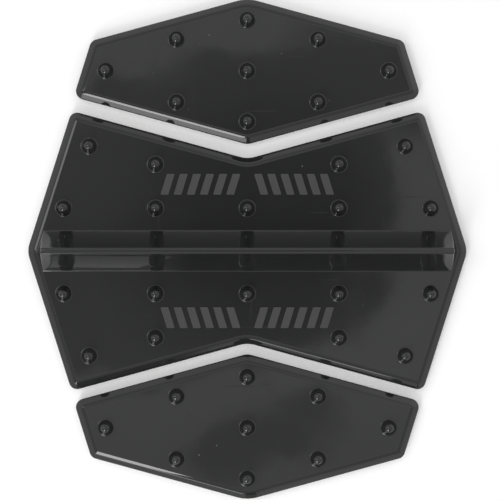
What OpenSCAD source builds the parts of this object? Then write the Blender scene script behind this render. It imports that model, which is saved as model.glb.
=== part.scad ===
// Stick-on stomp pad for a snowboard's deck, in three loose sections: two swept wings with a
// centre section between them. Each section is a moulded grip plate on foam tape and a release
// liner. X runs across the pad, Y along it and Z up. The origin is on the surface that the
// liners lie on, under the middle of the whole pad.

/* [Whole pad] */
// Width over the side points of the centre section, before they are rounded
pad_w = 112.7; // [106:0.1:120]
// Length over the two wing tips, before they are rounded
pad_len = 128.5; // [122:0.1:136]
// Angle of the slanted edges from X
sweep = 15.3; // [13:0.1:17]
// Gap between the front wing and the centre section, along Y
front_gap = 3.7; // [2.5:0.1:5.5]
// Gap between the rear wing and the centre section, along Y
rear_gap = 2.8; // [2.5:0.1:5.5]

/* [Centre section] */
// Width over its four corners
center_w = 89.9; // [86:0.1:94]
// Length over its four corners
center_len = 71.7; // [68:0.1:76]
// Radius of its four corners
center_corner_r = 2.1; // [1.6:0.1:4]
// Radius of its two side points
side_point_r = 6; // [2:0.5:10]
// Radius at the bottom of its two notches
notch_r = 7; // [2:0.5:14]

/* [Wings] */
// Width over a wing's outer corners
wing_outer_w = 79.9; // [76:0.1:84]
// Width over a wing's inner corners
wing_inner_w = 88.9; // [85:0.1:92]
// Radius of a wing's four side corners
wing_corner_r = 2.2; // [1.4:0.1:3]
// Radius of a wing's outer tip
outer_tip_r = 10; // [2:0.5:14]
// Radius of a wing's inner tip
inner_tip_r = 4; // [2:0.5:8]

/* [Grip plate] */
// Thickness of a plate from its underside to its flat top
plate_t = 2.6; // [2.2:0.1:3.6]
// Distance from the outline to the flat top
shoulder_w = 2.35; // [2:0.05:2.8]

/* [Studs] */
// Height of a stud above the flat top
stud_h = 2.5; // [2.4:0.1:4]
// Diameter at the foot of the cone, above its fillet
stud_foot_d = 3.8; // [3:0.1:4.4]
// Diameter where the cone meets the rounded tip
stud_tip_d = 2.7; // [1.6:0.1:2.9]
// Radius of the fillet round the foot
stud_fillet = 0.35; // [0.2:0.05:0.6]
// Spacing of the stud columns on the centre section
center_pitch = 23.4; // [22:0.1:24]
// Distance of the centre section's inner rows from its middle line
center_row_y = 10.9; // [9:0.1:12]
// Distance of the corner studs' column from the middle
center_corner_x = 40.5; // [38:0.1:41]
// Where the slanted outer rows would cross X = 0
center_edge_y = 15.7; // [15:0.1:17]
// Spacing of the stud columns on the wings
wing_pitch = 18.05; // [16:0.05:19]
// Distance of a wing's tip studs from the wing's middle line
wing_row_y = 12.95; // [11:0.05:13.5]

/* [Cross ridge] */
// Height of the ridge above the flat top
ridge_h = 6.3; // [4:0.1:7]
// Width at its foot
ridge_foot_w = 10.2; // [8:0.2:12]
// Width of the flat band along its top
ridge_top_w = 1.5; // [1:0.1:3]
// Radius of its hollow flanks
ridge_flank_r = 44; // [20:0.5:80]
// Distance from the start of the flat top to the ends of the ridge
ridge_end_gap = 0.05; // [0.05:0.05:2]
// Lean of its two ends from upright
ridge_end_lean = 13; // [0:1:25]

/* [Raised motif] */
// Width of each band of slanted bars
motif_w = 43.6; // [30:0.2:44]
// Length of the bars along Y
motif_len = 5.4; // [3:0.1:5.6]
// Distance from the middle line to the middle of a band
motif_y = 17; // [16.5:0.1:17.2]
// Height of the bars above the flat top
motif_h = 0.2; // [0.1:0.05:0.5]
// Number of bars on each side of the middle
motif_bars = 6; // [3:1:8]

/* [Tape and liner] */
// Thickness of the foam tape
tape_t = 0.8; // [0.4:0.1:1.5]
// Distance the tape stays inside the plate's outline
tape_inset = 0.5; // [0.3:0.1:1.2]
// Thickness of the release liner
liner_t = 0.15; // [0.1:0.05:0.3]
// Distance the liner stays inside the plate's outline
liner_inset = 0.2; // [0:0.1:0.8]

/* [Hidden] */

plate_color = [0.10, 0.10, 0.11];
tape_color = [0.72, 0.73, 0.72];
liner_color = [0.93, 0.91, 0.84];

// Steps in each rounded corner, an even number, and the least radius an inset corner keeps
corner_steps = 6;
least_r = 0.05;
// Angle that a stud's tip rounds through before its small flat end
tip_arc = 75;
// Facets round a stud, and steps in its fillet, its tip and a ridge flank
stud_facets = 24;
round_steps = 3;
flank_steps = 6;
// How far studs, ridge and bars reach down into the plate that they are moulded with
sink = 0.5;

slope = tan(sweep);
plate_z = liner_t + tape_t;
top_z = plate_z + plate_t;

// Centre section: its notches, and where its middle line lies so that the whole pad is centred
notch_y = center_len / 2 - slope * center_w / 2;
center_y = (rear_gap - front_gap) / 2;

// Wings: the inner tip lies one gap from a notch, and the side edges take what length is left
swept_len = slope * (wing_inner_w + wing_outer_w) / 2;
wing_side_len = (pad_len - front_gap - rear_gap) / 2 - notch_y - swept_len;
wing_depth = swept_len + wing_side_len;
front_tip_y = center_y + notch_y + front_gap;
rear_tip_y = notch_y + rear_gap - center_y;

// Corners as [x, y, radius], anticlockwise. A wing starts at its inner tip, at the origin.
wing_corners = [
    [0, 0, inner_tip_r],
    [wing_inner_w / 2, slope * wing_inner_w / 2, wing_corner_r],
    [wing_outer_w / 2, slope * wing_inner_w / 2 + wing_side_len, wing_corner_r],
    [0, wing_depth, outer_tip_r],
    [-wing_outer_w / 2, slope * wing_inner_w / 2 + wing_side_len, wing_corner_r],
    [-wing_inner_w / 2, slope * wing_inner_w / 2, wing_corner_r],
];
center_corners = [
    [pad_w / 2, 0, side_point_r],
    [center_w / 2, center_len / 2, center_corner_r],
    [0, notch_y, notch_r],
    [-center_w / 2, center_len / 2, center_corner_r],
    [-pad_w / 2, 0, side_point_r],
    [-center_w / 2, -center_len / 2, center_corner_r],
    [0, -notch_y, notch_r],
    [center_w / 2, -center_len / 2, center_corner_r],
];

// Plate edge as [inset, height]: an upright wall, a quick turn inwards, a long even bevel and a
// shallow band that runs out in the flat top
plate_edge = [
    [0, 0],
    [0, 0.443 * plate_t],
    [0.03 * shoulder_w, 0.497 * plate_t],
    [0.1 * shoulder_w, 0.554 * plate_t],
    [0.52 * shoulder_w, 0.845 * plate_t],
    [0.7 * shoulder_w, 0.934 * plate_t],
    [0.87 * shoulder_w, 0.984 * plate_t],
    [shoulder_w, plate_t],
];

// Stud places on one plate, for X of 0 and above
wing_studs = [
    [0, wing_row_y], [0, 0], [0, -wing_row_y],
    [wing_pitch, wing_row_y - slope * wing_pitch],
    [wing_pitch, slope * wing_pitch - wing_row_y],
    [2 * wing_pitch, 0],
];
center_studs = [
    for (side = [-1, 1]) each [
        [0, side * center_row_y],
        [center_pitch, side * center_row_y],
        [2 * center_pitch, side * center_row_y],
        [center_pitch, side * (center_edge_y + slope * center_pitch)],
        [center_corner_x, side * (center_edge_y + slope * center_corner_x)],
    ]
];

function heading(angle) = [cos(angle), sin(angle)];
function flat_part(p) = [p.x, p.y];
function direction(from, to) = (to - from) / norm(to - from);
function left_of(v) = [-v.y, v.x];
function mirrored(places) = concat(places, [for (p = places) if (p.x > 0) [-p.x, p.y]]);

// Arc round corner i of an outline whose sides have all moved in by inset. Arcs of different
// insets share a centre and have the same number of points, so outlines join ring to ring.
function corner_arc(corners, i, inset) =
    let (n = len(corners),
         here = flat_part(corners[i]),
         way_in = direction(flat_part(corners[(i + n - 1) % n]), here),
         way_out = direction(here, flat_part(corners[(i + 1) % n])),
         side_in = left_of(way_in),
         side_out = left_of(way_out),
         bend = sign(way_in.x * way_out.y - way_in.y * way_out.x),
         r = max(least_r, corners[i].z - bend * inset),
         centre = here + (inset + bend * r) * (side_in + side_out) / (1 + side_in * side_out),
         start = atan2(side_in.y, side_in.x),
         turn = bend * acos(side_in * side_out))
    [for (k = [0:corner_steps]) centre - bend * r * heading(start + turn * k / corner_steps)];

function outline(corners, inset) =
    [for (i = [0:len(corners) - 1]) each corner_arc(corners, i, inset)];

// Flat cap over a ring of n points that is symmetrical about the middle of its first corner's
// arc. Strips join each point to its mirror point, so a cap with notches fills right up to them.
function cap(n) =
    let (middle = corner_steps / 2)
    [
        for (m = [0:n / 2 - 1])
            let (a = middle + m, b = middle - m + n, strip = [a, a + 1, b - 1, b])
            m == 0 ? [a, a + 1, b - 1] :
            m == n / 2 - 1 ? [a, a + 1, b] : strip
    ];

// Solid through the outlines at each [inset, height] of an edge, from the bottom up
module lofted(corners, edge) {
    rings = [for (e = edge) [for (p = outline(corners, e.x)) [p.x, p.y, e.y]]];
    n = len(rings[0]);
    top = (len(rings) - 1) * n;
    walls = [
        for (k = [0:len(rings) - 2], j = [0:n - 1])
            let (a = k * n + j, b = k * n + (j + 1) % n)
            each [[a, a + n, b + n], [a, b + n, b]]
    ];
    bottom_cap = [for (face = cap(n)) [for (i = face) i % n]];
    top_cap = [for (face = cap(n)) [for (k = [len(face) - 1:-1:0]) top + face[k] % n]];
    polyhedron([for (ring = rings) each ring], concat(bottom_cap, walls, top_cap));
}

// Cone stud with a filleted foot and a rounded tip, standing on Z = 0
module stud() {
    foot_r = stud_foot_d / 2;
    tip_r = stud_tip_d / 2;
    fillet_points = [
        for (k = [0:round_steps])
            let (a = 90 * k / round_steps)
            [foot_r + stud_fillet * (1 - sin(a)), stud_fillet * (1 - cos(a))]
    ];
    tip_points = [
        for (k = [0:round_steps])
            let (a = tip_arc * k / round_steps)
            [tip_r * cos(a), stud_h - tip_r * (sin(tip_arc) - sin(a))]
    ];
    sunk_points = [[0, stud_h], [0, -sink], [foot_r + stud_fillet, -sink]];
    rotate_extrude($fn = stud_facets)
        polygon(concat(sunk_points, fillet_points, tip_points));
}

// Grip plate with its studs, its underside at Z = 0
module studded_plate(corners, places) {
    lofted(corners, plate_edge);
    for (p = places)
        translate([p.x, p.y, plate_t]) stud();
}

// Ridge across the centre section, with hollow flanks. Its ends follow the plate's own outline
// at their foot and lean in from there.
module cross_ridge() {
    end_slope = tan(ridge_end_lean);
    foot_inset = shoulder_w + ridge_end_gap;
    flank_w = (ridge_foot_w - ridge_top_w) / 2;
    chord_angle = atan2(ridge_h, flank_w);
    half_bend = asin(norm([flank_w, ridge_h]) / (2 * ridge_flank_r));
    foot_angle = chord_angle - half_bend;
    flank = [
        for (k = [0:flank_steps])
            let (a = foot_angle + 2 * half_bend * k / flank_steps)
            [ridge_foot_w / 2 - ridge_flank_r * (sin(a) - sin(foot_angle)),
             ridge_flank_r * (cos(foot_angle) - cos(a))]
    ];
    other_flank = [for (k = [flank_steps:-1:0]) [-flank[k].x, flank[k].y]];
    foot = [[-ridge_foot_w / 2, -sink], [ridge_foot_w / 2, -sink]];
    intersection() {
        rotate([90, 0, 90])
            linear_extrude(pad_w, center = true)
            polygon(concat(foot, flank, other_flank));
        lofted(center_corners, [
            [foot_inset, -2 * sink],
            [foot_inset, 0],
            [foot_inset + end_slope * 2 * ridge_h, 2 * ridge_h],
        ]);
    }
}

// Band of slanted bars that lean away from the middle on both sides
module motif_band() {
    pitch = motif_w / 2 / (motif_bars + 0.5);
    bar_w = 0.62 * pitch;
    lean = 0.5 * pitch;
    for (side = [-1, 1], k = [0:motif_bars - 1]) {
        x = (k + 0.5) * pitch;
        translate([0, 0, -sink])
            linear_extrude(sink + motif_h)
            polygon([
                [side * x, -motif_len / 2],
                [side * (x + bar_w), -motif_len / 2],
                [side * (x + bar_w + lean), motif_len / 2],
                [side * (x + lean), motif_len / 2],
            ]);
    }
}

// A flat layer cut to a section's outline
module layer(corners, inset, z, thickness) {
    translate([0, 0, z])
        linear_extrude(thickness)
        polygon(outline(corners, inset));
}

// Places a wing built from its inner tip: the front one as it is, the rear one turned round
module at_front() {
    translate([0, front_tip_y, 0]) children();
}

module at_rear() {
    translate([0, -rear_tip_y, 0]) rotate([0, 0, 180]) children();
}

module at_center() {
    translate([0, center_y, 0]) children();
}

module wing_plate() {
    middle = wing_depth / 2;
    translate([0, 0, plate_z])
        color(plate_color)
        studded_plate(wing_corners, [for (p = mirrored(wing_studs)) [p.x, p.y + middle]]);
}

module front_pad() {
    at_front() wing_plate();
}

module rear_pad() {
    at_rear() wing_plate();
}

module center_pad() {
    at_center()
        color(plate_color) {
            translate([0, 0, plate_z])
                studded_plate(center_corners, mirrored(center_studs));
            translate([0, 0, top_z]) cross_ridge();
            for (turn = [0, 180])
                rotate([0, 0, turn])
                translate([0, -motif_y, top_z]) motif_band();
        }
}

module front_adhesive() {
    at_front() color(tape_color) layer(wing_corners, tape_inset, liner_t, tape_t);
}

module center_adhesive() {
    at_center() color(tape_color) layer(center_corners, tape_inset, liner_t, tape_t);
}

module rear_adhesive() {
    at_rear() color(tape_color) layer(wing_corners, tape_inset, liner_t, tape_t);
}

module front_liner() {
    at_front() color(liner_color) layer(wing_corners, liner_inset, 0, liner_t);
}

module center_liner() {
    at_center() color(liner_color) layer(center_corners, liner_inset, 0, liner_t);
}

module rear_liner() {
    at_rear() color(liner_color) layer(wing_corners, liner_inset, 0, liner_t);
}

front_pad();
center_pad();
rear_pad();
front_adhesive();
center_adhesive();
rear_adhesive();
front_liner();
center_liner();
rear_liner();
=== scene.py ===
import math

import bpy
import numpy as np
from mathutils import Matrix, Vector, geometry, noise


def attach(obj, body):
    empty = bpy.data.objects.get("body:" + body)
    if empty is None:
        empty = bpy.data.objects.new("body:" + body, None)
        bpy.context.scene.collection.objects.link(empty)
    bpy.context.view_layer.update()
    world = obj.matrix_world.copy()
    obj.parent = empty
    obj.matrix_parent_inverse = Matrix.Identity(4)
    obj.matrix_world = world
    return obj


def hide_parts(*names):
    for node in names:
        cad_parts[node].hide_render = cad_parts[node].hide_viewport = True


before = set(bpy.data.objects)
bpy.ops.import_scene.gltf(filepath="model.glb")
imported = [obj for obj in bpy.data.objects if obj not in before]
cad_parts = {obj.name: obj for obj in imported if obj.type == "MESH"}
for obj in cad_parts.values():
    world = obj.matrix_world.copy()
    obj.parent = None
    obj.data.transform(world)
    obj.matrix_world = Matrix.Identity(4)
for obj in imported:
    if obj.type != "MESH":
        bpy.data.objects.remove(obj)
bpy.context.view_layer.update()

# Looks of the stomp pad: the fine meshes of its three grip plates, tapes and liners, their
# materials, a white floor, studio light and the camera. Lengths in the mesh code are
# millimetres, and Shell.build turns them into metres in the CAD's frame.

MM = 0.001

# Whole pad, as in the CAD
PAD_W = 112.7
PAD_LEN = 128.5
SLOPE = math.tan(math.radians(15.3))
FRONT_GAP = 3.7
REAR_GAP = 2.8
CENTER_W = 89.9
CENTER_LEN = 71.7
CENTER_CORNER_R = 2.1
SIDE_POINT_R = 6.0
NOTCH_R = 7.0
WING_OUTER_W = 79.9
WING_INNER_W = 88.9
WING_CORNER_R = 2.2
OUTER_TIP_R = 10.0
INNER_TIP_R = 4.0

# Layers from the liner up. The tape and the liner are cut a little unevenly, in a grain of
# CUT_GRAIN along the edge, and the tape's cut edge bulges.
LINER_T = 0.15
LINER_INSET = 0.2
LINER_UNEVEN = 0.04
TAPE_T = 0.8
TAPE_INSET = 0.5
TAPE_UNEVEN = 0.05
TAPE_BULGE = 0.07
CUT_GRAIN = 2.3
PLATE_T = 2.6
PLATE_Z = LINER_T + TAPE_T
SHOULDER_W = 2.35
# How far the moulded plates dip at most, and the length of their broad and their small waves
TOP_WAVE = 0.03
BROAD_WAVE = 24
SMALL_WAVE = 9

# Studs
STUD_H = 2.5
STUD_FOOT_R = 1.9
STUD_TIP_R = 1.35
STUD_FILLET = 0.35
CENTER_PITCH = 23.4
CENTER_ROW_Y = 10.9
CENTER_CORNER_X = 40.3
CENTER_EDGE_Y = 15.7
WING_PITCH = 18.05
WING_ROW_Y = 12.95

# Ridge across the centre section
RIDGE_H = 6.3
RIDGE_FOOT_W = 10.2
RIDGE_TOP_W = 1.5
RIDGE_FLANK_R = 44.0
RIDGE_CROWN_R = 2.8
RIDGE_END_GAP = 0.1
# Its ends lean in by this share of the height. They have a blunt point in plan, and a rounding
# that fades out towards the foot.
RIDGE_DRAFT = math.tan(math.radians(13))
RIDGE_END_BLUNT = 0.55
RIDGE_END_R = 0.3
RIDGE_END_FADE = 0.5
# Its foot spreads a little, and its section is rounded at the foot and beside the crown
RIDGE_FOOT_SPREAD = 0.25
RIDGE_FOOT_R = 0.45
RIDGE_SHOULDER_R = 0.22

# Raised motif
MOTIF_W = 43.6
MOTIF_LEN = 5.4
MOTIF_Y = 17.0
MOTIF_H = 0.2
MOTIF_BARS = 6
# Width of a bar and how far it leans, both as shares of the bars' spacing
BAR_SHARE = 0.62
BAR_LEAN = 0.5
BAR_CORNER_R = 0.25
BAR_BEVEL = 0.07
# Edge of a bar as (inset in bevels, share of its height)
BAR_EDGE = [(0, 0), (0.01, 0.5), (0.35, 0.85), (1, 1), (2.2, 1)]

# Fineness of the meshes
CORNER_STEPS = 14
BAR_CORNER_STEPS = 4
SIDE_STEP = 1.5
GRID_STEP = 2.0
LAYER_GRID_STEP = 4
LAYER_LEVELS = 7
STUD_SIDES = 48
FILLET_STEPS = 10
CONE_STEPS = 5
TIP_STEPS = 10
FLANK_STEPS = 14
CROWN_STEPS = 8
ROUNDING_STEPS = 6
RIDGE_SPANS = 40
END_ROUNDING_STEPS = 5
END_ROWS = 8

# Least radius of an inset corner
LEAST_R = 0.05
# Grid points keep this share of a grid step away from the loops of a flat fill
GRID_CLEARANCE = 0.45
# A triangle is a sliver below this ratio of twice its area to its longest side squared
SLIVER = 1e-5
# Decimals, in millimetres, to which two points have to agree to be one
WELD_DECIMALS = 4

NOTCH_Y = CENTER_LEN / 2 - SLOPE * CENTER_W / 2
CENTER_Y = (REAR_GAP - FRONT_GAP) / 2
SWEPT_LEN = SLOPE * (WING_INNER_W + WING_OUTER_W) / 2
WING_SIDE_LEN = (PAD_LEN - FRONT_GAP - REAR_GAP) / 2 - NOTCH_Y - SWEPT_LEN
WING_DEPTH = SWEPT_LEN + WING_SIDE_LEN
FRONT_TIP_Y = CENTER_Y + NOTCH_Y + FRONT_GAP
REAR_TIP_Y = NOTCH_Y + REAR_GAP - CENTER_Y

WING_CORNERS = [
    (0, 0, INNER_TIP_R),
    (WING_INNER_W / 2, SLOPE * WING_INNER_W / 2, WING_CORNER_R),
    (WING_OUTER_W / 2, SLOPE * WING_INNER_W / 2 + WING_SIDE_LEN, WING_CORNER_R),
    (0, WING_DEPTH, OUTER_TIP_R),
    (-WING_OUTER_W / 2, SLOPE * WING_INNER_W / 2 + WING_SIDE_LEN, WING_CORNER_R),
    (-WING_INNER_W / 2, SLOPE * WING_INNER_W / 2, WING_CORNER_R),
]
CENTER_CORNERS = [
    (PAD_W / 2, 0, SIDE_POINT_R),
    (CENTER_W / 2, CENTER_LEN / 2, CENTER_CORNER_R),
    (0, NOTCH_Y, NOTCH_R),
    (-CENTER_W / 2, CENTER_LEN / 2, CENTER_CORNER_R),
    (-PAD_W / 2, 0, SIDE_POINT_R),
    (-CENTER_W / 2, -CENTER_LEN / 2, CENTER_CORNER_R),
    (0, -NOTCH_Y, NOTCH_R),
    (CENTER_W / 2, -CENTER_LEN / 2, CENTER_CORNER_R),
]

# Slope in degrees of a plate's edge at each distance in from the outline
EDGE_SLOPES = [
    (0, 74), (0.05, 56), (0.12, 41), (0.25, 39.3), (0.95, 39.5),
    (1.2, 36), (1.7, 20), (2.05, 15), (SHOULDER_W, 0),
]
# Stretches of that edge as (from, to, number of points), closer together where it bends
EDGE_STRETCHES = [(0, 0.3, 9), (0.3, 1.0, 9), (1.0, 1.8, 13), (1.8, SHOULDER_W, 9)]
# Rounding of the plate's lower rim, as (inset, height)
LOWER_RIM = [(0.13, 0), (0.055, 0.02), (0.015, 0.06), (0, 0.12)]

# Places of the materials on a plate, and on a tape or liner
GLOSS, MATTE = 0, 1
LAYER_FACE, LAYER_CUT = 0, 1

# How faces share their shading: faces of one group blend into each other. Blended faces also
# run smoothly into the flat top. SIDE is for the sides of bars, tapes and liners.
BLENDED, FLAT_TOP, SIDE, BAR_TOP, UNDER = range(5)


def unit(v):
    return v / math.hypot(v[0], v[1])


def left_of(v):
    return np.array((-v[1], v[0]))


def corner_arc(corners, i, inset, steps):
    """Points round corner i of an outline whose sides have all moved in by inset."""
    neighbours = (i - 1, i, (i + 1) % len(corners))
    before, here, after = (np.array(corners[k][:2], float) for k in neighbours)
    way_in, way_out = unit(here - before), unit(after - here)
    side_in, side_out = left_of(way_in), left_of(way_out)
    bend = math.copysign(1, way_in[0] * way_out[1] - way_in[1] * way_out[0])
    r = max(LEAST_R, corners[i][2] - bend * inset)
    dot = float(side_in @ side_out)
    centre = here + (inset + bend * r) * (side_in + side_out) / (1 + dot)
    start = math.atan2(side_in[1], side_in[0])
    turn = bend * math.acos(dot)
    arc = []
    for k in range(steps + 1):
        angle = start + turn * k / steps
        arc.append(centre - bend * r * np.array((math.cos(angle), math.sin(angle))))
    return arc


def outline(corners, inset):
    """One ring of points, anticlockwise, for an outline whose sides have all moved in by inset.
    Rings of one outline have the same number of points, whatever their inset."""
    arcs = [corner_arc(corners, i, inset, CORNER_STEPS) for i in range(len(corners))]
    ring = []
    for i, arc in enumerate(arcs):
        ring += arc
        following = (i + 1) % len(arcs)
        parts = max(1, round(math.dist(corners[i][:2], corners[following][:2]) / SIDE_STEP))
        begin, end = arc[-1], arcs[following][0]
        ring += [begin + (end - begin) * k / parts for k in range(1, parts)]
    return ring


def edge_profile():
    """(inset, height) points of a plate's edge, from the lower rim to the flat top."""
    insets, heights = [0.0], [0.0]
    places = [s[0] for s in EDGE_SLOPES]
    slopes = [s[1] for s in EDGE_SLOPES]
    stretches = [np.linspace(*stretch) for stretch in EDGE_STRETCHES]
    marks = sorted(set(np.round(np.concatenate(stretches), 4)))
    for mark in marks[1:]:
        middle = (mark + insets[-1]) / 2
        rise = (mark - insets[-1]) * math.tan(math.radians(np.interp(middle, places, slopes)))
        insets.append(mark)
        heights.append(heights[-1] + rise)
    base = PLATE_T - heights[-1]
    wall = [(0.0, LOWER_RIM[-1][1]), (0.0, (LOWER_RIM[-1][1] + base) / 2)]
    return LOWER_RIM[:-1] + wall + [(i, base + h) for i, h in zip(insets, heights)]


def rounded(points, radii):
    """The open line through points, with an arc in place of each point that has a radius."""
    line = [points[0]]
    for before, here, after, r in zip(points, points[1:], points[2:], radii[1:]):
        if not r:
            line.append(here)
            continue
        way_in = unit(here - before)
        way_out = unit(after - here)
        turn = math.atan2(way_in[0] * way_out[1] - way_in[1] * way_out[0], way_in @ way_out)
        setback = r * math.tan(abs(turn) / 2)
        side = math.copysign(1, turn) * left_of(way_in)
        centre = here - way_in * setback + side * r
        start = math.atan2(-side[1], -side[0])
        for k in range(ROUNDING_STEPS + 1):
            angle = start + turn * k / ROUNDING_STEPS
            line.append(centre + r * np.array((math.cos(angle), math.sin(angle))))
    return line + [points[-1]]


def stud_profile():
    """(radius, height) points of a stud, from the outside of its fillet to its tip."""
    cone = math.atan2(STUD_H - STUD_TIP_R, STUD_FOOT_R - STUD_TIP_R)
    lean = math.pi / 2 - cone
    points = []
    # The fillet's steps are finest where it leaves the flat top
    for k in range(FILLET_STEPS + 1):
        a = cone * (k / FILLET_STEPS) ** 1.6
        points.append((STUD_FOOT_R + STUD_FILLET * (1 - math.sin(a)), STUD_FILLET * (1 - math.cos(a))))
    foot = points[-1]
    tip = []
    for k in range(TIP_STEPS):
        a = lean + (math.pi / 2 - lean) * k / TIP_STEPS
        tip.append((STUD_TIP_R * math.cos(a), STUD_H - STUD_TIP_R * (1 - math.sin(a))))
    across, up = tip[0][0] - foot[0], tip[0][1] - foot[1]
    for k in range(1, CONE_STEPS):
        points.append((foot[0] + across * k / CONE_STEPS, foot[1] + up * k / CONE_STEPS))
    return points + tip


class Shell:
    """The points and faces of one closed mesh, in millimetres."""

    def __init__(self):
        self.points = []
        self.faces = []
        self.kinds = []
        self.groups = []

    def add(self, points):
        start = len(self.points)
        self.points += [tuple(float(c) for c in p) for p in points]
        return list(range(start, len(self.points)))

    def face(self, ids, kind=GLOSS, group=BLENDED):
        self.faces.append(tuple(ids))
        self.kinds.append(kind)
        self.groups.append(group)

    def strip(self, lower, upper, kind=GLOSS, group=BLENDED, closed=True):
        """Faces between two rows of points. They face right of the way from lower[0] to lower[1]."""
        count = len(lower)
        for j in range(count if closed else count - 1):
            k = (j + 1) % count
            self.face((lower[j], lower[k], upper[k], upper[j]), kind, group)

    def fill(self, loops, kind=GLOSS, group=FLAT_TOP, up=True, grid=None):
        """A flat fill between an outer loop and any holes, at the height of the first point."""
        z = self.points[loops[0][0]][2]
        ids = [i for loop in loops for i in loop]
        flat = np.array([self.points[i][:2] for i in ids])
        edges = []
        for loop in loops:
            first = len(edges)
            edges += [(first + j, first + (j + 1) % len(loop)) for j in range(len(loop))]
        begin, end = flat[[e[0] for e in edges]], flat[[e[1] for e in edges]]
        coords = flat
        if grid:
            lo, hi = flat.min(0), flat.max(0)
            xs = np.arange(lo[0], hi[0], grid)
            ys = np.arange(lo[1], hi[1], grid * math.sqrt(3) / 2)
            inner = np.array([(x + (k % 2) * grid / 2, y) for k, y in enumerate(ys) for x in xs])
            keep = inside(inner, begin, end)
            nearest = np.array([np.min(np.hypot(*(flat - p).T)) for p in inner])
            keep &= nearest > GRID_CLEARANCE * grid
            coords = np.vstack((flat, inner[keep]))
        out, _, triangles, origins, _, _ = geometry.delaunay_2d_cdt(
            [Vector(c) for c in coords], edges, [], 0, 1e-7, True)
        place = []
        for vertex, origin in zip(out, origins):
            known = [o for o in origin if o < len(ids)]
            place.append(ids[known[0]] if known else self.add([(vertex.x, vertex.y, z)])[0])
        out = np.array([tuple(v) for v in out])
        keep = inside(np.array([out[list(t)].mean(0) for t in triangles]), begin, end)
        for triangle, inner_one in zip(triangles, keep):
            a, b, c = (out[i] for i in triangle)
            doubled_area = abs((b[0] - a[0]) * (c[1] - a[1]) - (b[1] - a[1]) * (c[0] - a[0]))
            longest = max(np.hypot(*(b - a)), np.hypot(*(c - b)), np.hypot(*(a - c)))
            if inner_one and doubled_area > SLIVER * longest ** 2:
                ids3 = [place[i] for i in triangle]
                self.face(ids3 if up else ids3[::-1], kind, group)

    def normals(self, mesh):
        """A normal for each face corner: faces share it within their group, and blended faces
        take the flat top's where they meet it."""
        points = np.array([v.co for v in mesh.vertices])
        blended = np.array([v.vector for v in mesh.vertex_normals])
        sums = {}
        corners = [tuple(p.vertices) for p in mesh.polygons]
        for ids, group in zip(corners, self.groups):
            if group == BLENDED:
                continue
            around = points[list(ids)]
            facing = sum(np.cross(a - around[0], b - around[0]) for a, b in zip(around[1:], around[2:]))
            for i in ids:
                sums[i, group] = sums.get((i, group), 0) + facing
        found = []
        for ids, group in zip(corners, self.groups):
            for i in ids:
                key = (i, FLAT_TOP if group == BLENDED else group)
                total = sums.get(key)
                found.append(blended[i] if total is None else total / np.linalg.norm(total))
        return found

    def weld(self):
        """Joins points at the same place, and drops the faces that fold up and the spare points."""
        first = {}
        same = []
        for i, point in enumerate(self.points):
            rounded_place = tuple(round(float(c), WELD_DECIMALS) for c in point)
            same.append(first.setdefault(rounded_place, i))
        kept = []
        for face, kind, group in zip(self.faces, self.kinds, self.groups):
            ids = [same[i] for i in face]
            ids = [i for n, i in enumerate(ids) if i not in ids[:n]]
            if len(ids) > 2:
                kept.append((ids, kind, group))
        used = sorted({i for ids, _, _ in kept for i in ids})
        place = {i: n for n, i in enumerate(used)}
        self.points = [self.points[i] for i in used]
        self.faces = [tuple(place[i] for i in ids) for ids, _, _ in kept]
        self.kinds = [kind for _, kind, _ in kept]
        self.groups = [group for _, _, group in kept]

    def build(self, name, materials, move, body, slot, replaces, wave=0.0):
        """The mesh as an object that rides on body. move takes a point from the section's frame to
        the pad's, and wave is how far the top dips at most."""
        self.weld()
        points = [move(p) for p in self.points]
        if wave:
            points = [
                (x, y, z - wave * min(1, max(0, (z - PLATE_Z) / PLATE_T)) * slow_noise(x, y))
                for x, y, z in points
            ]
        mesh = bpy.data.meshes.new(name)
        mesh.from_pydata([tuple(c * MM for c in p) for p in points], [], self.faces)
        for material in materials:
            mesh.materials.append(material)
        mesh.polygons.foreach_set("material_index", self.kinds)
        mesh.polygons.foreach_set("use_smooth", [True] * len(mesh.polygons))
        mesh.update()
        mesh.normals_split_custom_set(self.normals(mesh))
        obj = bpy.data.objects.new(name, mesh)
        bpy.context.scene.collection.objects.link(obj)
        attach(obj, body)
        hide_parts(replaces)
        return obj


def inside(points, begin, end):
    """Which points lie inside the loops whose edges run from begin to end, holes taken out."""
    x, y = points[:, 0][:, None], points[:, 1][:, None]
    crosses = (begin[:, 1] > y) != (end[:, 1] > y)
    rise = end[:, 1] - begin[:, 1]
    rise = np.where(np.abs(rise) < 1e-12, 1e-12, rise)
    meets = begin[:, 0] + (y - begin[:, 1]) * (end[:, 0] - begin[:, 0]) / rise
    return (np.sum(crosses & (x < meets), axis=1) % 2) == 1


def slow_noise(x, y):
    """From 0 to 1, for the slight waviness of the moulded top."""
    broad = noise.noise(Vector((x / BROAD_WAVE, y / BROAD_WAVE, 3.7)))
    small = noise.noise(Vector((x / SMALL_WAVE, y / SMALL_WAVE, 8.1)))
    return min(1, max(0, 0.5 + 0.5 * (broad + 0.4 * small)))


def add_stud(shell, x, y, z):
    """Adds a stud and returns the loop where it meets the flat top."""
    rings = []
    for r, height in stud_profile():
        ring = []
        for k in range(STUD_SIDES):
            angle = 2 * math.pi * k / STUD_SIDES
            ring.append((x + r * math.cos(angle), y + r * math.sin(angle), z + height))
        rings.append(shell.add(ring))
    for lower, upper in zip(rings, rings[1:]):
        shell.strip(lower, upper)
    pole = shell.add([(x, y, z + STUD_H)])[0]
    last = rings[-1]
    for k in range(STUD_SIDES):
        shell.face((last[k], last[(k + 1) % STUD_SIDES], pole))
    return rings[0]


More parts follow.
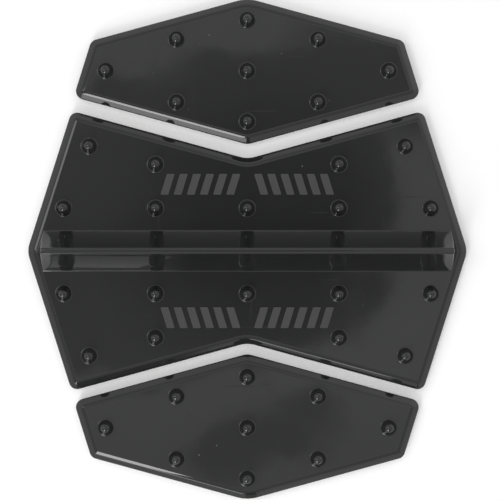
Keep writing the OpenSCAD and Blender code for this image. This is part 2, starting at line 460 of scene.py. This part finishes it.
def ridge_section():
    """(y, height) points across the ridge, from its foot at -Y over the top to the foot at +Y."""
    flank_w = (RIDGE_FOOT_W - RIDGE_TOP_W) / 2
    chord_angle = math.atan2(RIDGE_H, flank_w)
    half_bend = math.asin(math.hypot(flank_w, RIDGE_H) / (2 * RIDGE_FLANK_R))
    foot_angle = chord_angle - half_bend
    flank = []
    for k in range(FLANK_STEPS + 1):
        a = foot_angle + 2 * half_bend * k / FLANK_STEPS
        flank.append(np.array((
            -RIDGE_FOOT_W / 2 + RIDGE_FLANK_R * (math.sin(a) - math.sin(foot_angle)),
            RIDGE_FLANK_R * (math.cos(foot_angle) - math.cos(a)))))
    sag = RIDGE_TOP_W ** 2 / (8 * RIDGE_CROWN_R)
    flank = [np.array((p[0], p[1] * (1 - sag / RIDGE_H))) for p in flank]
    crown = [
        np.array((y, RIDGE_H - sag * (2 * y / RIDGE_TOP_W) ** 2))
        for y in np.linspace(-RIDGE_TOP_W / 2, RIDGE_TOP_W / 2, CROWN_STEPS + 1)[1:-1]]
    line = [np.array((-RIDGE_FOOT_W / 2 - RIDGE_FOOT_SPREAD, 0))] + flank
    line += crown + [np.array((-p[0], p[1])) for p in line[::-1]]
    radii = [0] * len(line)
    radii[1] = radii[-2] = RIDGE_FOOT_R
    radii[FLANK_STEPS + 1] = radii[-FLANK_STEPS - 2] = RIDGE_SHOULDER_R
    return rounded(line, radii)


def add_ridge(shell, z):
    """Adds the ridge and returns the loop where it meets the flat top."""
    section = ridge_section()
    count = len(section)
    normals = []
    for j in range(count):
        along = unit(section[min(j + 1, count - 1)] - section[max(j - 1, 0)])
        normals.append(np.array((-along[1], along[0])))
    splay = (PAD_W - CENTER_W) / CENTER_LEN
    reach = math.hypot(1, splay)

    def end_x(y, height, back):
        """Half-length of the ridge at a place on its section, back inside its end face."""
        inset = SHOULDER_W + RIDGE_END_GAP + height * RIDGE_DRAFT + back
        blunt = math.hypot(y, RIDGE_END_BLUNT)
        return PAD_W / 2 - blunt * splay - inset * reach

    # Rows of the rounding between an end face and the flanks, as (y, height, distance back)
    stations = []
    for k in range(END_ROUNDING_STEPS + 1):
        angle = math.pi / 2 * k / END_ROUNDING_STEPS
        back, shrink = RIDGE_END_R * (1 - math.cos(angle)), RIDGE_END_R * (1 - math.sin(angle))
        row = []
        for point, normal in zip(section, normals):
            fade = min(1, point[1] / RIDGE_END_FADE)
            y, height = point - normal * shrink * fade
            row.append((y, max(0, height), back * fade))
        stations.append(row)
    columns = []
    for side in (-1, 1):
        rows = []
        for row in stations:
            rows.append(shell.add([(side * end_x(y, h, back), y, z + h) for y, h, back in row]))
        columns.append(rows)
    middle = []
    last = stations[-1]
    for k in range(1, RIDGE_SPANS):
        t = 1 - 2 * k / RIDGE_SPANS
        middle.append(shell.add([(-t * end_x(y, h, back), y, z + h) for y, h, back in last]))
    line_up = columns[0] + middle + columns[1][::-1]
    for here, following in zip(line_up, line_up[1:]):
        shell.strip(following, here, closed=False)
    # End faces, in rows from the rim down to the flat top
    for side, rows in zip((-1, 1), columns):
        rim = rows[0]
        heights = [shell.points[i][2] - z for i in rim]
        below = [rim]
        for k in range(END_ROWS - 1, -1, -1):
            level = []
            for i, height in zip(rim, heights):
                if height <= 0:
                    level.append(i)
                    continue
                y, h = shell.points[i][1], height * k / END_ROWS
                level += shell.add([(side * end_x(y, h, 0), y, z + h)])
            below.append(level)
        for upper, lower in zip(below, below[1:]):
            for j in range(count - 1):
                ids = [lower[j], lower[j + 1], upper[j + 1], upper[j]]
                ids = [i for n, i in enumerate(ids) if i not in ids[:n]]
                if len(ids) > 2:
                    shell.face(ids if side > 0 else ids[::-1])
        rows.append(below[-1])
    left_foot, right_foot = columns[0][-1], columns[1][-1]
    low_line = [row[0] for row in line_up]
    high_line = [row[-1] for row in line_up]
    return low_line + right_foot[1:] + high_line[-2::-1] + left_foot[-2:0:-1]


def add_motif(shell, turn, z):
    """Adds one band of slanted bars and returns the loops where they meet the flat top."""
    pitch = MOTIF_W / 2 / (MOTIF_BARS + 0.5)
    bar_w, lean = BAR_SHARE * pitch, BAR_LEAN * pitch
    flip = -1 if turn else 1
    loops = []
    for side in (-1, 1):
        for k in range(MOTIF_BARS):
            x = (k + 0.5) * pitch
            low, high = -MOTIF_LEN / 2, MOTIF_LEN / 2
            corners = [(x, low), (x + bar_w, low), (x + bar_w + lean, high), (x + lean, high)]
            corners = [(side * cx, cy, BAR_CORNER_R) for cx, cy in corners][::side]
            rings = []
            for inset, height in BAR_EDGE:
                ring = [
                    p for i in range(len(corners))
                    for p in corner_arc(corners, i, inset * BAR_BEVEL, BAR_CORNER_STEPS)]
                rings.append(shell.add([
                    (flip * px, flip * (py - MOTIF_Y), z + MOTIF_H * height) for px, py in ring]))
            for lower, upper in zip(rings, rings[1:]):
                shell.strip(lower, upper, MATTE, SIDE)
            shell.fill([rings[-1]], MATTE, BAR_TOP)
            loops.append(rings[0])
    return loops


def mirrored(places):
    """The places, and the mirror images of those beside the middle line."""
    return places + [(-x, y) for x, y in places if x > 0]


def grip_plate(corners, studs, centre_section):
    """A grip plate's closed shell in its own frame."""
    shell = Shell()
    rings = []
    for inset, height in edge_profile():
        rings.append(shell.add([(x, y, PLATE_Z + height) for x, y in outline(corners, inset)]))
    for lower, upper in zip(rings, rings[1:]):
        shell.strip(lower, upper)
    shell.fill([rings[0]], group=UNDER, up=False)
    top = PLATE_Z + PLATE_T
    loops = [rings[-1]]
    loops += [add_stud(shell, x, y, top) for x, y in mirrored(studs)]
    if centre_section:
        loops.append(add_ridge(shell, top))
        loops += add_motif(shell, False, top)
        loops += add_motif(shell, True, top)
    shell.fill(loops, grid=GRID_STEP)
    return shell


def die_cut(corners, inset, z, thickness, bulge, uneven, seed):
    """A flat layer cut to an outline. Its cut edge bulges in the middle and is a little uneven."""
    shell = Shell()
    probe = 0.1
    base, further_in = outline(corners, inset), outline(corners, inset + probe)
    rings = []
    for k in range(LAYER_LEVELS):
        t = k / (LAYER_LEVELS - 1)
        swell = bulge * (1 - (2 * t - 1) ** 2)
        ring = []
        for p, q in zip(base, further_in):
            where = Vector((p[0] / CUT_GRAIN, p[1] / CUT_GRAIN, seed + 0.6 * t))
            amount = 0.5 + 0.5 * noise.noise(where)
            p = p + (q - p) / probe * (amount * uneven + bulge - swell)
            ring.append((p[0], p[1], z + thickness * t))
        rings.append(shell.add(ring))
    for lower, upper in zip(rings, rings[1:]):
        shell.strip(lower, upper, LAYER_CUT, SIDE)
    shell.fill([rings[0]], LAYER_FACE, UNDER, up=False, grid=LAYER_GRID_STEP)
    shell.fill([rings[-1]], LAYER_FACE, grid=LAYER_GRID_STEP)
    return shell


# Materials ----------------------------------------------------------------------------------


class Graph:
    """Short ways to add and link the nodes of one material or world."""

    def __init__(self, tree):
        self.tree = tree
        tree.nodes.clear()

    def node(self, kind, inputs=None, **settings):
        made = self.tree.nodes.new(kind)
        for key, value in settings.items():
            setattr(made, key, value)
        for key, value in (inputs or {}).items():
            self.put(made.inputs[key], value)
        return made

    def put(self, socket, value):
        if isinstance(value, bpy.types.NodeSocket):
            self.tree.links.new(value, socket)
        else:
            socket.default_value = value

    def math(self, operation, *values, clamp=False):
        made = self.node("ShaderNodeMath", operation=operation, use_clamp=clamp)
        for socket, value in zip(made.inputs, values):
            self.put(socket, value)
        return made.outputs[0]

    def noise(self, vector, scale, detail=2.0, roughness=0.5):
        made = self.node("ShaderNodeTexNoise", {
            "Vector": vector, "Scale": scale, "Detail": detail, "Roughness": roughness})
        return made.outputs["Fac"]

    def ramp(self, value, low, high, to_low=0.0, to_high=1.0):
        """Goes smoothly from to_low, where value is low, to to_high, where it is high."""
        made = self.node("ShaderNodeMapRange", {
            "Value": value, "From Min": low, "From Max": high,
            "To Min": to_low, "To Max": to_high}, interpolation_type="SMOOTHSTEP")
        return made.outputs["Result"]

    def mix(self, factor, a, b):
        made = self.node("ShaderNodeMix", data_type="RGBA")
        self.put(made.inputs[0], factor)
        self.put(made.inputs[6], a)
        self.put(made.inputs[7], b)
        return made.outputs[2]

    def stretch(self, vector, scale, turn):
        made = self.node("ShaderNodeMapping", {
            "Vector": vector, "Scale": scale, "Rotation": (0, 0, turn)})
        return made.outputs["Vector"]

    def bump(self, height, distance, normal=None):
        made = self.node("ShaderNodeBump", {"Height": height, "Distance": distance})
        if normal is not None:
            self.put(made.inputs["Normal"], normal)
        return made.outputs["Normal"]


def new_material(name):
    material = bpy.data.materials.new(name)
    material.use_nodes = True
    graph = Graph(material.node_tree)
    place = graph.node("ShaderNodeTexCoord").outputs["Object"]
    shader = graph.node("ShaderNodeBsdfPrincipled")
    out = graph.node("ShaderNodeOutputMaterial")
    graph.tree.links.new(shader.outputs[0], out.inputs["Surface"])
    return material, graph, place, shader


def grey(level, warm=0.0):
    return (level * (1 + warm), level, level * (1 - warm), 1)


def pad_gloss():
    """Black moulded plastic with a polished face, light handling haze, scratches and dust."""
    material, g, place, shader = new_material("pad_gloss")
    haze = g.ramp(g.noise(place, 55, 4, 0.6), 0.5, 0.75)
    fine = g.noise(place, 900, 3, 0.6)
    scratch_a = g.noise(g.stretch(place, (60, 1700, 60), 0.5), 1.0, 2)
    scratch_b = g.noise(g.stretch(place, (1500, 45, 60), 0.3), 1.0, 2)
    lines = g.math("MAXIMUM", g.ramp(scratch_a, 0.70, 0.76), g.ramp(scratch_b, 0.71, 0.77))
    cells = g.node("ShaderNodeTexVoronoi", {"Vector": place, "Scale": 420.0})
    speck = g.ramp(cells.outputs["Distance"], 0.05, 0.09, 1, 0)
    few = g.ramp(cells.outputs["Color"], 0.8, 0.86)
    dust = g.math("MULTIPLY", speck, few)
    g.put(shader.inputs["Base Color"], g.mix(
        g.math("MULTIPLY", dust, 0.35),
        g.mix(g.noise(place, 30, 3), grey(0.0125, -0.02), grey(0.0165, -0.02)), grey(0.25)))
    rough = g.math("ADD", g.math("MULTIPLY", haze, 0.05), g.math("MULTIPLY", fine, 0.015))
    rough = g.math("ADD", rough, g.math("MULTIPLY", lines, 0.12))
    rough = g.math("ADD", rough, g.math("MULTIPLY", dust, 0.5))
    g.put(shader.inputs["Roughness"], g.math("ADD", rough, 0.03, clamp=True))
    shader.inputs["IOR"].default_value = 1.5
    slow = g.bump(g.noise(place, 110, 2, 0.4), 0.000011)
    skin = g.bump(fine, 0.0000005, normal=slow)
    g.put(shader.inputs["Normal"], g.bump(lines, 0.000001, normal=skin))
    return material


def pad_matte():
    """The same plastic with a fine etched grain, on the raised bars."""
    material, g, place, shader = new_material("pad_matte")
    grain = g.noise(place, 3600, 3, 0.7)
    blotch = g.noise(place, 220, 3, 0.6)
    g.put(shader.inputs["Base Color"], g.mix(grain, grey(0.028), grey(0.043)))
    g.put(shader.inputs["Roughness"], g.math("ADD", g.math("MULTIPLY", blotch, 0.15), 0.5))
    shader.inputs["IOR"].default_value = 1.5
    g.put(shader.inputs["Normal"], g.bump(grain, 0.00004))
    return material


def foam_side():
    """Cut side of closed-cell foam: pale, open cells, with painted shade darkening their hollows."""
    material, g, place, shader = new_material("tape_foam")
    cells = g.node("ShaderNodeTexVoronoi", {"Vector": place, "Scale": 4200.0})
    depth = g.ramp(cells.outputs["Distance"], 0.1, 0.55)
    # The colour goes darker down in each cell's hollow, where the bump makes a pit: painted shade
    g.put(shader.inputs["Base Color"], g.mix(depth, grey(0.34, 0.02), grey(0.62, 0.02)))
    shader.inputs["Roughness"].default_value = 0.9
    g.put(shader.inputs["Normal"], g.bump(depth, 0.00005))
    return material


def tape_face():
    """Tacky face of the tape: a thin clear glue over the foam, with trapped bubbles."""
    material, g, place, shader = new_material("tape_glue")
    blotch = g.noise(place, 160, 4, 0.6)
    cells = g.node("ShaderNodeTexVoronoi", {"Vector": place, "Scale": 900.0})
    bubble = g.ramp(cells.outputs["Distance"], 0.12, 0.3, 1, 0)
    g.put(shader.inputs["Base Color"], g.mix(blotch, grey(0.44, 0.03), grey(0.56, 0.04)))
    g.put(shader.inputs["Roughness"], g.math(
        "ADD", g.math("MULTIPLY", blotch, 0.25), g.math("ADD", g.math("MULTIPLY", bubble, 0.2), 0.35)))
    g.put(shader.inputs["Normal"], g.bump(g.math("ADD", blotch, g.math("MULTIPLY", bubble, 0.3)), 0.00006))
    return material


def liner_paper(name, level, warm):
    """Release paper: short pressed fibres under a thin silicone skin."""
    material, g, place, shader = new_material(name)
    fibre_a = g.noise(g.stretch(place, (420, 2600, 400), 0.4), 1.0, 4, 0.6)
    fibre_b = g.noise(g.stretch(place, (2600, 420, 400), 0.3), 1.0, 4, 0.6)
    fibres = g.math("MULTIPLY", g.math("ADD", fibre_a, fibre_b), 0.5)
    cloud = g.noise(place, 260, 5, 0.65)
    g.put(shader.inputs["Base Color"], g.mix(
        g.math("MULTIPLY", g.math("ADD", fibres, cloud), 0.5),
        grey(level * 0.86, warm), grey(min(0.95, level * 1.08), warm)))
    g.put(shader.inputs["Roughness"], g.ramp(cloud, 0.3, 0.7, 0.38, 0.52))
    g.put(shader.inputs["Normal"], g.bump(fibres, 0.00002))
    return material


# The object ---------------------------------------------------------------------------------

# Where the uneven cuts start in the noise: each tape and liner has its own
TAPE_SEED = 11.3
LINER_SEED = 23.9

gloss = pad_gloss()
matte = pad_matte()
foam = foam_side()
glue = tape_face()
paper = liner_paper("liner_paper", 0.74, 0.05)
paper_cut = liner_paper("liner_cut", 0.62, 0.07)


def as_front(p):
    """From a wing's own frame, which starts at its inner tip, to the front of the pad."""
    return (p[0], p[1] + FRONT_TIP_Y, p[2])


def as_rear(p):
    """The same wing turned round, at the rear of the pad."""
    return (-p[0], -p[1] - REAR_TIP_Y, p[2])


def as_center(p):
    return (p[0], p[1] + CENTER_Y, p[2])


wing_studs = [
    (0, WING_ROW_Y), (0, 0), (0, -WING_ROW_Y),
    (WING_PITCH, WING_ROW_Y - SLOPE * WING_PITCH),
    (WING_PITCH, SLOPE * WING_PITCH - WING_ROW_Y),
    (2 * WING_PITCH, 0),
]
wing_studs = [(x, y + WING_DEPTH / 2) for x, y in wing_studs]
center_studs = []
for side in (-1, 1):
    center_studs += [
        (0, side * CENTER_ROW_Y), (CENTER_PITCH, side * CENTER_ROW_Y),
        (2 * CENTER_PITCH, side * CENTER_ROW_Y),
        (CENTER_PITCH, side * (CENTER_EDGE_Y + SLOPE * CENTER_PITCH)),
        (CENTER_CORNER_X, side * (CENTER_EDGE_Y + SLOPE * CENTER_CORNER_X)),
    ]

SECTIONS = [
    ("front", WING_CORNERS, wing_studs, as_front),
    ("center", CENTER_CORNERS, center_studs, as_center),
    ("rear", WING_CORNERS, wing_studs, as_rear),
]
for number, (section, corners, studs, move) in enumerate(SECTIONS):
    plate = grip_plate(corners, studs, section == "center")
    plate.build(f"{section}_grip_plate", [gloss, matte], move,
                f"{section}_section", "plate", f"{section}_pad", wave=TOP_WAVE)
    tape = die_cut(corners, TAPE_INSET, LINER_T, TAPE_T, TAPE_BULGE, TAPE_UNEVEN, TAPE_SEED + number)
    tape.build(f"{section}_foam_tape", [glue, foam], move,
               f"{section}_section", "tape", f"{section}_adhesive")
    liner = die_cut(corners, LINER_INSET, 0, LINER_T, 0.0, LINER_UNEVEN, LINER_SEED + number)
    liner.build(f"{section}_release_liner", [paper, paper_cut], move,
                "liners", "liner", f"{section}_liner")

# Floor --------------------------------------------------------------------------------------

FLOOR_HALF = 1.5
# Just under the liners, so that the two never share a plane
FLOOR_Z = -0.00002


def add_floor():
    """A white square under the pad."""
    corners = [(-FLOOR_HALF, -FLOOR_HALF), (FLOOR_HALF, -FLOOR_HALF),
               (FLOOR_HALF, FLOOR_HALF), (-FLOOR_HALF, FLOOR_HALF)]
    mesh = bpy.data.meshes.new("floor")
    mesh.from_pydata([(x, y, FLOOR_Z) for x, y in corners], [], [(0, 1, 2, 3)])
    material, g, place, shader = new_material("floor_white")
    g.put(shader.inputs["Base Color"], g.mix(g.noise(place, 400, 3), grey(0.88), grey(0.9)))
    shader.inputs["Roughness"].default_value = 0.8
    shader.inputs["Specular IOR Level"].default_value = 0.2
    shader.inputs["Emission Color"].default_value = (1, 1, 1, 1)
    shader.inputs["Emission Strength"].default_value = 0.1
    mesh.materials.append(material)
    floor = bpy.data.objects.new("floor", mesh)
    bpy.context.scene.collection.objects.link(floor)


add_floor()

# Light --------------------------------------------------------------------------------------

# Height of the camera, and of the level plane that the tent's pattern is laid out on. All that
# lies directly above a flat mirror at the origin shows there at its own place on that plane.
CAMERA_H = 450.0
# Light of the tent on the opening's -Y side and elsewhere round it, and of the opening itself
TENT_LOW_Y, TENT_HIGH_Y = 0.84, 0.95
OPENING_MIDDLE, OPENING_RIM = 0.15, 0.43
# The tent gets lighter in a band round the opening, darker beyond it and lighter down the wall
BAND_GAIN = 0.05
BEYOND_LOSS = 0.27
WALL_GAIN = 0.3


def studio_world():
    """A white tent. Straight above there is a darker opening, with soft uneven edges, that the
    camera looks through. u and v are where a direction crosses the plane CAMERA_H above."""
    world = bpy.data.worlds.new("studio")
    bpy.context.scene.world = world
    world.use_nodes = True
    g = Graph(world.node_tree)
    way = g.node("ShaderNodeTexCoord").outputs["Generated"]
    parts = g.node("ShaderNodeSeparateXYZ", {"Vector": way})
    up = g.math("MAXIMUM", parts.outputs["Z"], 0.02)
    u = g.math("MULTIPLY", g.math("DIVIDE", parts.outputs["X"], up), CAMERA_H)
    v = g.math("MULTIPLY", g.math("DIVIDE", parts.outputs["Y"], up), CAMERA_H)
    flat = g.node("ShaderNodeCombineXYZ", {"X": u, "Y": v, "Z": 0.0}).outputs[0]
    ragged = g.math("MULTIPLY", g.math("SUBTRACT", g.noise(flat, 0.045, 2, 0.5), 0.5), 22.0)

    def distance(a, b, power):
        """Distance of (a, b) from (0, 0). The places at one distance make a circle for a power of
        2, and something squarer for more."""
        total = g.math("ADD", g.math("POWER", a, power), g.math("POWER", b, power))
        return g.math("POWER", total, 1 / power)

    def oval(x, y, half_u, half_v, turn, soft, uneven):
        """0 inside a squarish oval about (x, y), turned by some degrees, and 1 outside it. soft is
        how gradual its edge is, and uneven how ragged."""
        c, s = math.cos(math.radians(turn)), math.sin(math.radians(turn))
        du, dv = g.math("SUBTRACT", u, float(x)), g.math("SUBTRACT", v, float(y))
        along = g.math("ADD", g.math("MULTIPLY", du, c), g.math("MULTIPLY", dv, s))
        across = g.math("SUBTRACT", g.math("MULTIPLY", dv, c), g.math("MULTIPLY", du, s))
        offset = g.math("MULTIPLY", ragged, uneven)
        a = g.math("DIVIDE", g.math("ADD", along, offset), float(half_u))
        b = g.math("DIVIDE", g.math("ADD", across, offset), float(half_v))
        far = distance(g.math("ABSOLUTE", a), g.math("ABSOLUTE", b), 3.0)
        return g.ramp(far, 1 - soft, 1 + soft)

    def smudge(x, y, half_u, half_v, turn):
        """A small dark patch with a soft edge: 0.1 in its middle and 1 outside it."""
        return g.ramp(oval(x, y, half_u, half_v, turn, soft=0.4, uneven=0.25), 0, 1, 0.1, 1)

    def between(value, rise_from, rise_to, fall_from, fall_to):
        """1 between the two ramps and 0 beyond them."""
        return g.math("MULTIPLY", g.ramp(value, rise_from, rise_to), g.ramp(value, fall_from, fall_to, 1, 0))

    # The opening has two lobes, and two smudges on its -Y side
    opening = g.math("MULTIPLY",
                     oval(-14, 8, 52, 40, turn=11, soft=0.04, uneven=1.0),
                     oval(34, 44, 24, 12, turn=-16, soft=0.3, uneven=0.4))
    smudges = g.math("MULTIPLY", smudge(-5, -52, 11, 8, turn=35), smudge(13, -45, 11, 7, turn=20))
    outside = g.math("MULTIPLY", opening, smudges)
    du, dv = g.math("SUBTRACT", u, 4.0), g.math("SUBTRACT", v, 6.0)
    from_middle = g.math("SQRT", g.math("ADD", g.math("MULTIPLY", du, du), g.math("MULTIPLY", dv, dv)))
    inner = g.ramp(from_middle, 14, 50, OPENING_MIDDLE, OPENING_RIM)
    tent = g.ramp(v, -55, -30, TENT_LOW_Y, TENT_HIGH_Y)
    level = g.math("ADD", inner, g.math("MULTIPLY", outside, g.math("SUBTRACT", tent, inner)))

    # Azimuth, in radians, is 0 towards -Y and grows towards +X
    radius = g.math("SQRT", g.math("ADD", g.math("MULTIPLY", u, u), g.math("MULTIPLY", v, v)))
    azimuth = g.math("ARCTAN2", parts.outputs["X"], g.math("MULTIPLY", parts.outputs["Y"], -1.0))
    band = between(radius, 85, 110, 190, 240)
    window = between(azimuth, 1.7, 2.0, 2.6, 2.9)
    beyond = g.math("MULTIPLY",
                    g.ramp(radius, 190, 260),
                    g.math("SUBTRACT", 1.0, g.math("MULTIPLY", window, 0.8)))
    wall = g.ramp(parts.outputs["Z"], 0.60, 0.50)
    level = g.math("ADD", level, g.math("MULTIPLY", band, BAND_GAIN))
    level = g.math("SUBTRACT", level, g.math("MULTIPLY", beyond, BEYOND_LOSS))
    level = g.math("ADD", level, g.math("MULTIPLY", wall, WALL_GAIN))

    # A dark upright strip, low towards -Y
    strip = g.math("MULTIPLY",
                   between(azimuth, -0.055, -0.035, 0.20, 0.24),
                   between(parts.outputs["Z"], 0.0, 0.1, 0.6, 0.7))
    shade = g.math("SUBTRACT", 1.0, g.math("MULTIPLY", strip, 0.8))
    strength = g.math("MULTIPLY", level, shade)
    background = g.node("ShaderNodeBackground", {"Color": (1, 1, 1, 1), "Strength": strength})
    out = g.node("ShaderNodeOutputWorld")
    g.tree.links.new(background.outputs[0], out.inputs["Surface"])


def add_softbox(name, place, size, radiance):
    """A rectangular light panel that faces the origin, with the same brightness all over."""
    data = bpy.data.lights.new(name, "AREA")
    data.shape = "RECTANGLE"
    data.size, data.size_y = size
    data.energy = radiance * math.pi * size[0] * size[1]
    light = bpy.data.objects.new(name, data)
    bpy.context.scene.collection.objects.link(light)
    light.location = place
    light.rotation_euler = (-Vector(place)).to_track_quat("-Z", "Y").to_euler()
    light.visible_camera = False


studio_world()
add_softbox("key_panel", place=(-0.23, -0.51, 0.215), size=(0.38, 0.14), radiance=2.6)
add_softbox("key_core", place=(-0.19, -0.42, 0.37), size=(0.13, 0.28), radiance=9.0)
add_softbox("fill_panel", place=(-0.33, 0.08, 0.50), size=(0.16, 0.30), radiance=2.6)

# Camera -------------------------------------------------------------------------------------

# Almost straight above the middle of the pad, in metres
CAMERA_PLACE = (0.00069, -0.00022, CAMERA_H * MM + 0.001)

camera_data = bpy.data.cameras.new("camera")
camera_data.sensor_width = 36
camera_data.lens = 126.3
camera_data.clip_start = 0.01
camera_data.clip_end = 10
camera = bpy.data.objects.new("camera", camera_data)
camera.location = CAMERA_PLACE
bpy.context.scene.collection.objects.link(camera)
bpy.context.scene.camera = camera
bpy.context.scene.view_settings.view_transform = "Standard"
